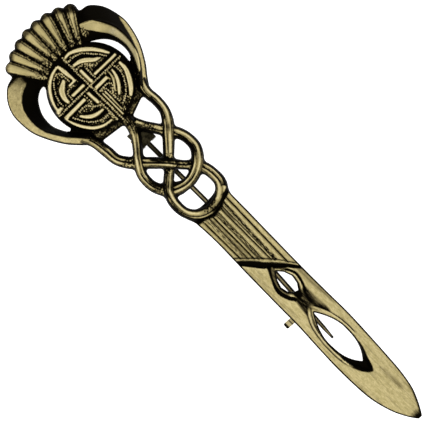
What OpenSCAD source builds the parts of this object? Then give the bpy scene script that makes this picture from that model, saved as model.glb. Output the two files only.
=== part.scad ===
// Kilt pin: a thistle head over a woven strap and a pierced, reeded blade,
// cast in one, with a hinged pin wire and a roller catch behind it.
// It lies on its back. The head points along +Y, the tip along -Y, and the
// front faces +Z. The origin is under the middle of the outline, on the
// surface that the hinge and the catch stand on.

/* [Casting] */
// Height of the casting's flat back over the surface
back_z = 4.6; // [4.4:0.1:5.2]
// Thickness of the blade
blade_t = 1.8; // [1.5:0.1:2.2]
// Height of the strap's strands over the back
strand_t = 2.2; // [1.8:0.1:2.6]
// Rise and fall of a strand where two cross
strand_lift = 0.5; // [0.3:0.1:0.6]
// Width of a strand
strand_w = 2.15; // [1.9:0.05:2.4]
// Height of the bulb's ground over the back
bulb_t = 2.2; // [1.8:0.1:2.6]
// Radius of the bulb's foot
bulb_r = 9.0; // [8.8:0.1:9.4]
// Height of the leaves' crease over the back
leaf_t = 3.4; // [2.8:0.1:4]

/* [Crown] */
// Number of flutes
flutes = 8; // [6:1:9]
// Radius of a flute's round tip
flute_r = 1.38; // [1.2:0.02:1.44]
// Distance from the fan's centre to the tips' centres
flute_reach = 16.27; // [15.5:0.01:16.27]
// Angle from the middle of the fan to its outer flutes
flute_spread = 30; // [26:1:32]

/* [Pin and catch] */
// Height of the pin wire's axis over the surface
wire_z = 2; // [2:0.1:2.2]
// Radius of the pin wire
wire_r = 0.53; // [0.4:0.01:0.55]
// Distance of the hinge's axis from the middle, along the pin
hinge_y = 23.4; // [23:0.1:24]
// Distance of the catch from the middle, along the pin
catch_y = -23.7; // [-24:0.1:-23.4]
// Turn of the catch's lever: 0 lets the wire out, 90 locks it
lever_turn = 0; // [0:5:90]

/* [Hidden] */
brass = [0.72, 0.64, 0.42];
dark_brass = [0.42, 0.37, 0.24];

// Heights over the back, and the small sinks that fuse one form to the next
sink = 0.4;
leaf_edge_t = 0.9;
rim_rise = 0.6;
band_rise = 0.75;
reed_rise = 0.45;

// Middle line of the bulb and of the strap
axis_x = 0.45;
bulb_y = 36.9;

// Fan of the crown: its centre, its roots, and how much every second flute stands higher
crown_at = [0.1, 36.6];
root_reach = 9.4;
root_r = 0.66;
root_t = 1.1;
flute_step = 0.07;
// How much shorter the outermost flutes are than the middle ones
flute_bow = 0.2;

// Blade, a row for each section: place along the pin, left edge, right edge
blade_rows = [
  [5.2, -4.25, 5.75], [3.4, -3.95, 5.1], [-2, -3.7, 5.0], [-10, -3.9, 4.85],
  [-18, -4.0, 4.75], [-25, -4.05, 4.8], [-30, -4.3, 4.85], [-36, -4.5, 4.6],
  [-42, -4.35, 4.25], [-45.5, -3.95, 3.95], [-49, -3.0, 3.3], [-51.5, -1.9, 2.3],
  [-53.4, -0.75, 1.3], [-54.2, -0.1, 0.75]
];
edge_bevel = 0.3;

// Strands, a row for each point: across, along, 1 over or -1 under, and part of the full width
leaf_strand = [
  [-7.9, 31.4, 0, 1], [-6.8, 29, 0, 1], [-6.35, 26, 0, 1.1], [-6.05, 23.4, 0, 1.05],
  [-4.6, 21.1, -1, 1.15], [-2.7, 19.2, 0, 1.1], [-1.1, 17.6, 0.5, 1.1], [0.65, 15.75, 1, 1],
  [2.4, 13.6, 0, 0.88], [4, 12, -1, 0.95], [5, 10.1, 0, 1.1], [5.35, 8, 0, 1.1],
  [5.1, 5.9, 0, 1.15], [3.4, 4.15, 0, 1.2], [0.6, 3.45, 0, 1.2], [-2.1, 4.25, 0, 1.1],
  [-3.85, 6.4, 0, 1], [-4.15, 9.2, 0, 1.05], [-3.4, 11.7, 1, 1], [-1.9, 13.3, 0, 1],
  [-0.3, 14.7, -0.5, 1], [1, 16.2, -1, 1], [2.65, 17.85, 0, 1.08], [4.6, 19.8, 1, 1.15],
  [6.3, 21.7, 0, 1.12], [7.4, 23.8, 0, 1], [7.65, 26.2, 0, 1], [7.5, 28.8, 0, 1],
  [8.3, 31.4, 0, 1]
];
ring_strand = [
  [0.9, 29.4, 0.2, 1], [0.85, 27.2, 0.2, 1.05], [0.25, 25, 0.1, 1], [-1.2, 22.7, 0, 0.95],
  [-3.05, 20.45, 1, 0.95], [-4.55, 18.2, 0, 1], [-4.9, 15.9, 0, 1], [-4.5, 14, 0, 1.05],
  [-3.4, 12.25, -1, 1.15], [-1.9, 11.1, 0, 1.12], [0.5, 10.4, 0, 1.1], [2.8, 10.75, 0.5, 1.15],
  [4.8, 11.9, 1, 1.2], [6.55, 14.2, 0, 1.12], [6.75, 16.7, 0, 1.05], [6.05, 18.9, 0, 1.07],
  [4.85, 20.4, -1, 1], [3.8, 22.2, 0, 1], [2.45, 24.2, -0.1, 1], [1.5, 26.1, -0.3, 1]
];
// Section of a strand: part of the half width, part of the height
strand_section = [
  [-1, 0], [-1, 0.62], [-0.78, 0.9], [-0.45, 0.96], [-0.16, 0.82], [0.16, 0.88],
  [0.48, 1], [0.8, 0.9], [1, 0.62], [1, 0]
];

// Leaves, a row for each section: outer edge, crease and inner edge
left_leaf = [
  [[-6.4, 50.6], [-5.4, 48.6], [-4.6, 45.4]], [[-9.0, 49.5], [-7.6, 47.0], [-5.6, 44.0]],
  [[-11.2, 48.8], [-9.5, 45.9], [-7.0, 43.8]], [[-13.2, 46.8], [-11.2, 44.2], [-8.6, 42.8]],
  [[-14.3, 44.4], [-12.1, 42.2], [-9.7, 41.2]], [[-14.5, 42.0], [-12.4, 40.4], [-10.3, 39.6]],
  [[-14.2, 39.0], [-12.3, 38.0], [-10.4, 37.4]], [[-13.0, 36.0], [-11.4, 35.8], [-9.8, 35.6]],
  [[-11.2, 32.9], [-10.0, 33.3], [-8.6, 33.7]], [[-9.4, 30.8], [-8.2, 31.5], [-6.6, 32.2]],
  [[-7.9, 29.3], [-6.6, 30.3], [-5.2, 31.2]]
];
right_leaf = [
  [[7.2, 50.6], [6.0, 48.6], [5.0, 45.4]], [[9.4, 49.4], [8.0, 46.8], [5.9, 44.0]],
  [[11.4, 48.9], [9.8, 45.6], [7.0, 43.4]], [[13.2, 46.9], [11.2, 43.8], [8.5, 42.4]],
  [[14.1, 44.5], [12.0, 42.0], [9.7, 41.0]], [[14.5, 41.8], [12.3, 40.2], [10.4, 39.3]],
  [[14.1, 39.0], [12.3, 38.0], [10.5, 37.4]], [[13.2, 36.2], [11.7, 35.9], [10.0, 35.7]],
  [[11.5, 33.1], [10.2, 33.5], [8.8, 33.9]], [[9.8, 30.9], [8.6, 31.6], [7.2, 32.4]],
  [[8.7, 29.3], [7.4, 30.3], [6.0, 31.2]]
];
// Height of each section, as a part of the full height: the top ends pass under the crown
leaf_rise = [0.3, 0.55, 0.82, 0.95, 1, 1, 1, 1, 0.94, 0.88, 0.84];

// Reeds of the panel: left and right side at the top, and the drift to the left below
reeds = [
  [-3.95, -2.85, 0.05], [-2.6, -1.5, 0.2], [-1.2, -0.75, 0.3], [-0.55, -0.1, 0.3],
  [0.1, 1.55, 0.3], [2.0, 2.5, 0.3], [2.8, 3.65, 0.3], [4.05, 5.0, 0.25]
];
reed_top = 3.0;
reed_foot = -16;
// Edge of the reeded panel, which crosses the blade at a slant
panel_edge = [[-4.2, -6.4], [-1.7, -8.6], [0.2, -10.6], [2.3, -13.0], [5.0, -17.0]];

// Openings of the blade: outline of the small diamond, and the pointed oval
diamond = [
  [0.5, -14], [1.5, -15.2], [2.1, -16.9], [1.8, -18.6], [1.0, -19.8], [0.2, -19.5],
  [-0.7, -18.5], [-1.0, -17.0], [-0.5, -15.4]
];
oval_x = 0.1;
oval_y = [-38.6, -31.2, -25];
oval_half = 2.2;
oval_steps = 14;
rim_w = 0.65;

// Bulb: bands of the roundel, radii from its middle
foot_t = 1.5;
ground_r = 8.2;
rim_in = 7.2;
rim_out = 8.05;
ring_in = 4.8;
ring_out = 5.65;
band_w = 0.85;
band_off = 1.1;
bead_w = 0.35;
apron = [
  [-8.4, 30.6], [-6.4, 28.6], [-4.8, 28], [0.3, 27.3], [2.1, 27.3], [5.4, 28.5],
  [6.8, 28.9], [9.0, 30.6], [0.5, 36]
];
apron_t = 1.2;

// Pin wire: a straight run, then a slight bend that brings it to the catch,
// with the wire a little swollen where it was bent. Past its straight stretch
// it is drawn down to a neck and then ground to its point.
bend_y = -8;
bend_swell = 0.03;
wire_x = 0.57;
wire_tip = [-0.83, -31.6];
straight_l = 12.9;
neck_r = 0.42;
taper_l = 2.6;
tip_r = 0.25;
bend_turn = atan2(wire_x - wire_tip[0], bend_y - wire_tip[1]);
run_l = norm([wire_x - wire_tip[0], bend_y - wire_tip[1]]);
catch_x = wire_x - (bend_y - catch_y) * tan(bend_turn);

// Hinge: a stop-sided block of two lugs, a rivet and the wire's eye
lug_r = 2;
lug_w = 1.15;
block_w = 4.1;
plate_t = 0.7;
lug_gap = block_w - 2 * lug_w;
eye_r = 1.3;
eye_w = lug_gap - 0.2;
rivet_r = 0.6;
rivet_fit = 0.02;
eye_fit = 0.06;
head_r = 0.95;
head_t = 0.3;

// Catch: a hooked tube round a slotted roller with a tab
tube_r = 2;
roller_r = 1.3;
roller_fit = 0.06;
tube_l = 3;
roller_l = 2.9;
slot_half = 0.63;
mouth_half = 0.72;
tab_w = 1.25;
tab_t = 0.8;
tab_reach = 5.6;
tab_corner = 0.2;
window_w = tab_w + 0.2;
solder_w = 2.6;

// Point at part t of the way from row b to row c of a smooth line through all
function between(a, b, c, d, t) =
  0.5 * (2 * b + (c - a) * t + (2 * a - 5 * b + 4 * c - d) * t * t
    + (3 * b - a - 3 * c + d) * t * t * t);
function smooth_rows(rows, steps) = let (last = len(rows) - 1) [
  for (i = [0:last - 1], s = [0:steps - 1])
    between(rows[max(i - 1, 0)], rows[i], rows[i + 1], rows[min(i + 2, last)], s / steps),
  rows[last]
];
function plan(p) = [p[0], p[1]];
function unit(v) = v / norm(v);

// Closed skin over rings of the same number of points
module skin(rings) {
  n = len(rings[0]);
  m = len(rings);
  sides = [
    for (i = [0:m - 2], j = [0:n - 1]) each [
      [i * n + j, i * n + (j + 1) % n, (i + 1) * n + (j + 1) % n],
      [i * n + j, (i + 1) * n + (j + 1) % n, (i + 1) * n + j]
    ]
  ];
  caps = [[for (j = [n - 1:-1:0]) j], [for (j = [0:n - 1]) (m - 1) * n + j]];
  polyhedron([for (r = rings) each r], concat(sides, caps), convexity = 12);
}

// Round strap with two ridges, rising and falling along its rows
module strand(rows) {
  line = smooth_rows(rows, 3);
  last = len(line) - 1;
  rings = [
    for (i = [0:last])
      let (
        ahead = unit(plan(line[min(i + 1, last)]) - plan(line[max(i - 1, 0)])),
        side = [-ahead[1], ahead[0]] * strand_w * line[i][3] / 2,
        top = strand_t + strand_lift * line[i][2]
      )
      [for (s = strand_section)
        [line[i][0] + side[0] * s[0], line[i][1] + side[1] * s[0], back_z + top * s[1]]]
  ];
  skin(rings);
}

// Leaf with a sharp crease between two slopes
module leaf(rows, outer_side) {
  fine = [for (k = [0:2]) smooth_rows([for (r = rows) r[k]], 2)];
  rise = smooth_rows(leaf_rise, 2);
  last = len(fine[0]) - 1;
  rings = [
    for (i = [0:last])
      let (
        o = fine[0][i],
        c = fine[1][i],
        n = fine[2][i],
        edge_z = back_z + leaf_edge_t * rise[i],
        ring = [
          [o[0], o[1], back_z], [o[0], o[1], edge_z],
          [c[0], c[1], back_z + leaf_t * rise[i]],
          [n[0], n[1], edge_z], [n[0], n[1], back_z]
        ]
      )
      outer_side < 0 ? ring : [for (j = [4:-1:0]) ring[j]]
  ];
  skin(rings);
}

// Crown of round flutes that fan out over a thin web
module crown() {
  for (i = [0:flutes - 1]) {
    turn = -flute_spread + 2 * flute_spread * i / (flutes - 1);
    step = flute_step * (i % 2);
    reach = flute_reach - flute_bow * pow(turn / flute_spread, 2);
    translate([crown_at[0], crown_at[1], back_z]) rotate([0, 0, -turn]) hull() {
      translate([0, reach, flute_r + step]) sphere(flute_r, $fn = 16);
      translate([0, root_reach, root_t + step]) sphere(root_r, $fn = 12);
      translate([0, reach, 0]) cylinder(h = 0.2, r = flute_r, $fn = 16);
      translate([0, root_reach - 0.8, 0]) cylinder(h = 0.2, r = 1.1, $fn = 12);
    }
  }
}

// Ring of the roundel, from radius a to radius b, with a bevelled top
module roundel_ring(a, b, rise) {
  rotate_extrude($fn = 56)
    polygon([
      [a, -sink], [b, -sink], [b, rise * 0.6], [b - 0.2, rise], [a + 0.2, rise], [a, rise * 0.6]
    ]);
}

// Straight band with a bevelled top, from point a to point b
module band(a, b, w, rise) {
  hull()
    for (p = [a, b]) {
      translate([p[0], p[1], -sink]) cylinder(h = sink + rise * 0.6, d = w, $fn = 8);
      translate([p[0], p[1], -sink]) cylinder(h = sink + rise, d = w * 0.6, $fn = 8);
    }
}

// Bulb: sloped foot, sunk ground, rim, inner ring and woven cross
module bulb() {
  translate([axis_x, bulb_y, back_z]) {
    rotate_extrude($fn = 60)
      polygon([
        [0, 0], [bulb_r, 0], [bulb_r, foot_t - 0.4], [bulb_r - 0.4, foot_t],
        [ground_r, bulb_t], [0, bulb_t]
      ]);
    translate([0, 0, bulb_t]) {
      roundel_ring(rim_in, rim_out, rim_rise);
      roundel_ring(ring_in, ring_out, rim_rise * 0.8);
      for (s = [-1, 1]) {
        band([s * band_off, -rim_in], [s * band_off, rim_in], band_w, band_rise);
        band([-rim_in - 0.2, s * band_off], [rim_in + 0.2, s * band_off], band_w, band_rise * 0.9);
      }
      band([0, -bulb_r + 0.9], [0, rim_out], bead_w, band_rise * 0.7);
    }
  }
}

// Low web that joins the bulb's foot to the leaves and the strap
module bulb_apron() {
  translate([0, 0, back_z]) linear_extrude(apron_t) polygon(apron);
}

// Blade with a bevelled edge, one section of each row
module blade_plate() {
  rings = [
    for (r = blade_rows)
      let (
        l = r[1],
        e = r[2],
        b = min(edge_bevel, (e - l) / 4)
      )
      [
        [l, r[0], back_z], [l, r[0], back_z + blade_t - b],
        [l + b, r[0], back_z + blade_t], [e - b, r[0], back_z + blade_t],
        [e, r[0], back_z + blade_t - b], [e, r[0], back_z]
      ]
  ];
  skin(rings);
}

// One reed, from its rounded top down to below the panel's slanting edge
module reed(row) {
  r = (row[1] - row[0]) / 2;
  x = (row[0] + row[1]) / 2;
  top_y = reed_top - r;
  hull()
    for (p = [[x, top_y], [x - row[2], reed_foot]]) {
      translate([p[0], p[1], blade_t - sink]) cylinder(h = sink + reed_rise * 0.5, r = r, $fn = 12);
      translate([p[0], p[1], blade_t - sink])
        cylinder(h = sink + reed_rise, r = r * 0.6, $fn = 12);
    }
}

// Reeds cut off along the panel's slanting edge
module panel() {
  translate([0, 0, back_z])
    intersection() {
      union() for (row = reeds) reed(row);
      linear_extrude(2 * blade_t)
        polygon(concat([[-4.2, 4], [5.2, 4]], [for (i = [4:-1:0]) panel_edge[i]]));
    }
}

// Oval with a sharp point above and a fuller one below
function oval_side(side) = [
  for (i = [-oval_steps + 1:oval_steps - 1])
    let (t = side * i / oval_steps, power = t < 0 ? 3 : 1.8)
      [
        oval_x - side * oval_half * (1 - pow(abs(t), power)),
        oval_y[1] + abs(t) * (t < 0 ? oval_y[0] - oval_y[1] : oval_y[2] - oval_y[1])
      ]
];
module oval() {
  polygon(concat(
    [[oval_x, oval_y[0]]], oval_side(1), [[oval_x, oval_y[2]]], oval_side(-1)
  ));
}

// Raised rims round the diamond and the oval, joined by a crossing
module rims() {
  translate([0, 0, back_z]) {
    linear_extrude(blade_t + 0.3) offset(r = rim_w, $fn = 16) polygon(diamond);
    linear_extrude(blade_t + 0.3) offset(r = rim_w, $fn = 16) oval();
  }
}

module piercings() {
  translate([0, 0, back_z - 1]) {
    linear_extrude(blade_t + 3) polygon(diamond);
    linear_extrude(blade_t + 3) oval();
  }
}

module casting() {
  color(brass) {
    crown();
    bulb();
    bulb_apron();
    leaf(left_leaf, -1);
    leaf(right_leaf, 1);
    strand(leaf_strand);
    strand(ring_strand);
    difference() {
      union() {
        blade_plate();
        panel();
        rims();
      }
      piercings();
    }
  }
}

// Moves to the hinge's axis
module at_hinge() {
  translate([wire_x, hinge_y, wire_z]) children();
}

module hinge_block() {
  color(dark_brass) at_hinge() {
    translate([-block_w / 2, -lug_r, back_z - wire_z - plate_t])
      cube([block_w, 2 * lug_r, plate_t]);
    for (s = [-1, 1])
      translate([s * (block_w - lug_w) / 2, 0, 0]) difference() {
        union() {
          rotate([0, 90, 0]) cylinder(h = lug_w, r = lug_r, center = true, $fn = 48);
          translate([-lug_w / 2, -lug_r, 0]) cube([lug_w, 2 * lug_r, back_z - wire_z - plate_t]);
        }
        rotate([0, 90, 0])
          cylinder(h = lug_w + 1, r = rivet_r + rivet_fit, center = true, $fn = 48);
      }
  }
}

module hinge_rivet() {
  color(brass) at_hinge() rotate([0, 90, 0]) {
    cylinder(h = block_w + 0.1, r = rivet_r, center = true, $fn = 48);
    for (s = [-1, 1])
      translate([0, 0, s * (block_w + head_t + 0.04) / 2])
        cylinder(h = head_t, r = head_r, center = true, $fn = 48);
  }
}

module stem() {
  color(brass) {
    difference() {
      union() {
        at_hinge() rotate([0, 90, 0]) cylinder(h = eye_w, r = eye_r, center = true, $fn = 48);
        translate([wire_x, bend_y, wire_z]) rotate([-90, 0, 0])
          cylinder(h = hinge_y - bend_y, r = wire_r, $fn = 48);
      }
      at_hinge() rotate([0, 90, 0])
        cylinder(h = eye_w + 1, r = rivet_r + eye_fit, center = true, $fn = 48);
    }
    translate([wire_x, bend_y, wire_z]) {
      sphere(wire_r + bend_swell, $fn = 48);
      rotate([90, 0, -bend_turn]) rotate_extrude($fn = 48)
        polygon([
          [0, 0], [wire_r, 0], [wire_r, straight_l], [neck_r, run_l - taper_l],
          [tip_r, run_l], [0, run_l]
        ]);
    }
  }
}

// Moves to the catch and lines up with the lower run of the wire
module at_catch() {
  translate([catch_x, catch_y, wire_z]) rotate([0, 0, -bend_turn]) children();
}

module catch_housing() {
  color(dark_brass) at_catch() {
    difference() {
      union() {
        rotate([90, 0, 0]) cylinder(h = tube_l, r = tube_r, center = true, $fn = 64);
        translate([-solder_w / 2, -tube_l / 2, 0.8])
          cube([solder_w, tube_l, back_z - wire_z - 0.8]);
      }
      rotate([90, 0, 0])
        cylinder(h = tube_l + 1, r = roller_r + roller_fit, center = true, $fn = 64);
      translate([-mouth_half, -tube_l, -2 * tube_r]) cube([2 * mouth_half, 2 * tube_l, 2 * tube_r]);
      translate([-2 * tube_r, -window_w / 2, -2 * tube_r])
        cube([2 * tube_r + mouth_half, window_w, 2 * tube_r + tab_t / 2 + 0.15]);
    }
  }
}

module catch_lever() {
  color(brass) at_catch() rotate([0, -lever_turn, 0]) difference() {
    union() {
      rotate([90, 0, 0]) cylinder(h = roller_l, r = roller_r, center = true, $fn = 64);
      translate([0, 0, -tab_t / 2]) linear_extrude(tab_t)
        polygon([
          [-1, -tab_w / 2], [-1, tab_w / 2], [-tab_reach + tab_corner, tab_w / 2],
          [-tab_reach, tab_w / 2 - tab_corner], [-tab_reach, -tab_w / 2 + tab_corner],
          [-tab_reach + tab_corner, -tab_w / 2]
        ]);
    }
    rotate([90, 0, 0]) cylinder(h = roller_l + 1, r = slot_half, center = true, $fn = 48);
    translate([-slot_half, -roller_l, -2 * roller_r]) cube([2 * slot_half, 2 * roller_l, 2 * roller_r]);
  }
}

casting();
hinge_block();
hinge_rivet();
stem();
catch_housing();
catch_lever();
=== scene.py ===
"""Kilt pin: cast thistle with a woven strap and a pierced blade, pin wire and catch behind."""
import math

import bmesh
import bpy
import numpy as np
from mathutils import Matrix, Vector, kdtree


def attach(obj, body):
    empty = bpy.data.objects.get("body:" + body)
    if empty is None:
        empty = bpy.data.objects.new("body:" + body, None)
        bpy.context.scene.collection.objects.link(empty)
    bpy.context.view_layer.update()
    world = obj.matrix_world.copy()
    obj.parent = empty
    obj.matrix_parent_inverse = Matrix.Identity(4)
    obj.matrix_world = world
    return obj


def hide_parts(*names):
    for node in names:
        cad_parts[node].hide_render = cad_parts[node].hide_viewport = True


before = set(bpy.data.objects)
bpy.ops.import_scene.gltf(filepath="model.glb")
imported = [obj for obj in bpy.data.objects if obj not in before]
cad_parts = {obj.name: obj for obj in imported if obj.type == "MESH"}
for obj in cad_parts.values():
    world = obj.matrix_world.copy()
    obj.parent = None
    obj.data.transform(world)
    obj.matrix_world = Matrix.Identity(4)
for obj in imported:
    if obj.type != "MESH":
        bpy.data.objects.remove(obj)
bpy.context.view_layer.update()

MM = 0.001

# Height of the casting's back over the surface that the pin lies on, in millimetres
BACK_Z = 4.6

# materials


class Value:
    """An output socket of a node tree; arithmetic on it adds Math nodes."""

    def __init__(self, graph, socket):
        self.graph = graph
        self.socket = socket

    def __add__(self, other):
        return self.graph.math("ADD", self, other)

    __radd__ = __add__

    def __sub__(self, other):
        return self.graph.math("SUBTRACT", self, other)

    def __rsub__(self, other):
        return self.graph.math("SUBTRACT", other, self)

    def __mul__(self, other):
        return self.graph.math("MULTIPLY", self, other)

    __rmul__ = __mul__


class Graph:
    """A node tree that is written as expressions on values."""

    def __init__(self, tree):
        self.tree = tree

    def add(self, kind, sockets=None, **settings):
        """A new node of a type, its settings first, then the values or links of its sockets."""
        made = self.tree.nodes.new(kind)
        for key, value in settings.items():
            setattr(made, key, value)
        for key, value in (sockets or {}).items():
            if isinstance(value, Value):
                self.tree.links.new(value.socket, made.inputs[key])
            else:
                made.inputs[key].default_value = value
        return made

    def out(self, kind, sockets=None, output=0, **settings):
        return Value(self, self.add(kind, sockets, **settings).outputs[output])

    def math(self, operation, *values):
        return self.out("ShaderNodeMath", dict(enumerate(values)), operation=operation)

    def largest(self, made, *others):
        for value in others:
            made = self.math("MAXIMUM", made, value)
        return made

    def mix(self, factor, a, b):
        """Colour a where the factor is 0 and colour b where it is 1."""
        return self.out("ShaderNodeMix", {0: factor, 6: a, 7: b}, 2, data_type="RGBA")

    def step(self, value, low, high):
        """Smooth rise from 0 at low to 1 at high."""
        return self.out(
            "ShaderNodeMapRange", {0: value, 1: low, 2: high, 3: 0.0, 4: 1.0},
            interpolation_type="SMOOTHSTEP")

    def place(self, scale=(1, 1, 1)):
        """Object coordinates in millimetres, stretched by a scale."""
        spot = self.out("ShaderNodeTexCoord", output=3)
        return self.out("ShaderNodeMapping", {0: spot, 3: tuple(1000 * s for s in scale)})

    def axes(self):
        """Object coordinates across, along and up, in millimetres."""
        spot = self.add("ShaderNodeSeparateXYZ", {0: self.place()})
        return [Value(self, socket) for socket in spot.outputs]

    def line(self, offset, half):
        """1 on a line and 0 beyond its half width."""
        return 1 - self.step(self.math("ABSOLUTE", offset), half * 0.45, half * 1.7)

    def noise(self, scale=(1, 1, 1), size=1.0, detail=4.0, rough=0.55):
        return self.out("ShaderNodeTexNoise", {
            "Vector": self.place(scale), "Scale": size, "Detail": detail, "Roughness": rough})

    def cells(self, size):
        """Distance to the nearest of scattered points."""
        return self.out("ShaderNodeTexVoronoi", {"Vector": self.place(), "Scale": size})

    def attribute(self, name):
        return self.out("ShaderNodeAttribute", output=2, attribute_name=name)

    def bump(self, height, strength, distance_mm):
        return self.out("ShaderNodeBump", {
            "Strength": strength, "Distance": distance_mm * MM, "Height": height})


def new_graph(name):
    material = bpy.data.materials.new(name)
    material.use_nodes = True
    material.node_tree.nodes.clear()
    return material, Graph(material.node_tree)


def finish_material(graph, sockets):
    shader = graph.out("ShaderNodeBsdfPrincipled", sockets)
    graph.add("ShaderNodeOutputMaterial", {"Surface": shader})


# Lines between the reeds: place at the top, half width, drift to the left below, strength
REED_LINES = [
    (-2.72, 0.09, -0.1, 1), (-1.42, 0.07, 0.3, 1), (-0.70, 0.1, 0.1, 1),
    (0.02, 0.05, 0.15, 0.9), (0.72, 0.05, 0.35, 0.9), (1.62, 0.08, 0.15, 1),
    (2.1, 0.07, 0.2, 0.9), (2.8, 0.06, 0.8, 0.9), (3.9, 0.1, 0.5, 1)]
# Tarnish along the reeds: middle, half width, drift to the left below, strength
REED_TARNISH = [
    (-1.9, 0.34, 0.2, 0.5), (-1.15, 0.16, 0.3, 0.35), (0.34, 0.26, 0.25, 0.8),
    (2.75, 0.3, 0.7, 0.85), (-3.3, 0.1, 0, 0.3)]
# Place where the drift begins, and the length that it is spread over
REED_TOP = 3
REED_RUN = 19


def reed_marks(g):
    """Wavy black lines between the reeds, with tarnish rubbed in along some of them."""
    across, along, _ = g.axes()
    wave = (g.noise((1.0, 0.5, 0.0), size=0.8, detail=3) - 0.5) * 0.28
    wave = wave + (g.noise((2.2, 1.4, 0.0), size=1.0, detail=2) - 0.5) * 0.16
    ragged = g.step(g.noise((4.0, 0.8, 0.0), size=1.5, detail=4), 0.34, 0.6)
    marks = [g.line(across + wave - 1.86, 0.16) * g.step(along, -3.0, 0.5) * 0.55]
    for rows, rubbed in ((REED_LINES, 1.0), (REED_TARNISH, ragged)):
        for place, half, drift, strength in rows:
            offset = across + wave + (REED_TOP - along) * (drift / REED_RUN) - place
            marks.append(g.line(offset, half) * rubbed * strength)
    return g.largest(*marks)


def cast_brass():
    """Satin brass, brushed along the blade, with near-black patina and painted shade, and polish
    and painted highlights, where the mesh says so.
    """
    material, g = new_graph("cast_brass")
    given = g.attribute("patina_and_painted_light")
    brushed = g.attribute("brushed")
    marks = reed_marks(g) * g.attribute("reeded")
    patina_and_painted_light = g.largest(given, marks)
    broad = g.noise(size=0.35, detail=3)
    mottle = g.noise(size=1.6, detail=5, rough=0.6)
    grain = g.noise(size=6.0, detail=4)
    brush = g.noise((5.0, 0.22, 1.0), size=1.6, detail=5, rough=0.7)
    streaks = g.noise((1.6, 0.1, 1.0), size=1.0, detail=3)
    pits = g.cells(2.6)
    tone_and_painted_light = patina_and_painted_light + ((mottle - 0.5) * 0.5 + (grain - 0.5) * 0.4) * (1 - brushed * 0.6)
    tone_and_painted_light = tone_and_painted_light + (brush - 0.5) * brushed * g.step(patina_and_painted_light, 0.1, 0.4) * 0.9
    dark = g.step(tone_and_painted_light, 0.30, 0.72)
    haze_and_half_shade = g.step(tone_and_painted_light + g.step(streaks, 0.42, 0.72) * brushed * 0.3, 0.04, 0.55)
    # Polish and painted highlights below 0; the lowest values are painted light that brightens a
    # leaf facet
    polish_and_painted_highlight = g.step(0 - given, 0.08, 0.6)
    painted_facet_light = g.step(0 - given, 0.62, 0.85)
    speckle = g.noise(size=4.0, detail=2)
    fine = g.noise((3.4, 1.1, 1.0), size=1.0, detail=5, rough=0.75)
    colour = g.mix(g.step(broad, 0.35, 0.65), (0.50, 0.415, 0.185, 1), (0.57, 0.475, 0.225, 1))
    # Tints: brushing, polish with painted highlights, painted light on a facet, speckle, brushed
    # streaks, haze with half shade, and black patina with painted shade
    for strength, tint in (
            (g.step(brush, 0.3, 0.7) * brushed * 0.5, (0.68, 0.58, 0.29, 1)),
            (brushed * 0.12, (0.27, 0.225, 0.075, 1)),
            (polish_and_painted_highlight, (0.86, 0.745, 0.43, 1)),
            (painted_facet_light, (0.66, 0.56, 0.29, 1)),
            (g.step(speckle, 0.4, 0.62) * 0.22, (0.36, 0.3, 0.12, 1)),
            (g.step(fine, 0.46, 0.64) * brushed * 0.62, (0.74, 0.63, 0.33, 1)),
            (g.step(1 - fine, 0.5, 0.66) * brushed * 0.42, (0.3, 0.25, 0.09, 1)),
            (haze_and_half_shade * 0.78, (0.13, 0.1, 0.042, 1)),
            (dark, (0.004, 0.003, 0.0015, 1))):
        colour = g.mix(strength, colour, tint)
    rough = 0.40 + (mottle - 0.5) * 0.16 + haze_and_half_shade * 0.1 + dark * 0.1
    height = brush * brushed * 0.5 + grain * 0.55 + g.step(pits, 0.12, 0.3) * (1 - brushed) * 0.5
    finish_material(g, {
        "Base Color": colour, "Metallic": 1 - painted_facet_light * 0.9, "Roughness": rough,
        "Specular Tint": (0.7, 0.7, 0.7, 1),
        "Normal": g.bump(height - marks * 2, 0.5, 0.04)})
    return material


def wire_marks(g):
    """Painted shade on the wire's round sides, drawn streaks along it, a dark point, and painted
    shadow, darkest below the hinge, where it runs under the casting.
    """
    across, along, _ = g.axes()
    offset = across - 0.57 - g.math("MINIMUM", along + 8, 0.0) * 0.0593
    # Painted shade on both round sides of the wire
    sides = g.step(g.math("ABSOLUTE", offset + 0.04), 0.08, 0.24)
    streak = g.line(offset - 0.1, 0.05) * g.step(g.noise((3.0, 0.2, 3.0)), 0.4, 0.6) * 0.8
    point = g.step(g.math("ABSOLUTE", offset + 0.04), 0.03, 0.16) * (1 - g.step(along, -28.5, -26))
    # Painted shadow where the wire runs under the casting
    shadow_under_casting = g.step(along, 11.0, 14.0) * 0.93
    return g.largest(sides, point, 1 - g.step(along, -31.2, -30.3), streak, shadow_under_casting)


def hinge_marks(g):
    """Black tarnish in broad patches over the hinge."""
    return g.step(g.noise(size=0.9, detail=4, rough=0.6), 0.38, 0.62)


def tab_marks(g):
    """Dark end of the tab and a dark line near its root."""
    across, _, _ = g.axes()
    return g.largest(1 - g.step(across, -5.5, -5.3), g.line(across + 4.55, 0.12) * 0.85)


def findings_brass(name, light, rough, marks):
    """Darker plain brass of the hinge, the catch and the wire; the hinge's near-black colour is
    painted shadow.
    """
    material, g = new_graph(name)
    broad = g.noise(size=0.5, detail=3)
    grain = g.noise(size=5.0, detail=4)
    drawn = g.noise((6.0, 0.5, 6.0), size=1.5, detail=4)
    stain = g.step(broad + (grain - 0.5) * 0.4, 0.42, 0.7)
    dull = tuple(0.45 * c for c in light) + (1,)
    colour = g.mix(stain, light + (1,), dull)
    colour = g.mix(marks(g), colour, (0.008, 0.0065, 0.0035, 1))
    finish_material(g, {
        "Base Color": colour, "Metallic": 1.0, "Roughness": rough + (drawn - 0.5) * 0.2,
        "Normal": g.bump(drawn * 0.6 + grain * 0.4, 0.35, 0.02)})
    return material


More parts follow.
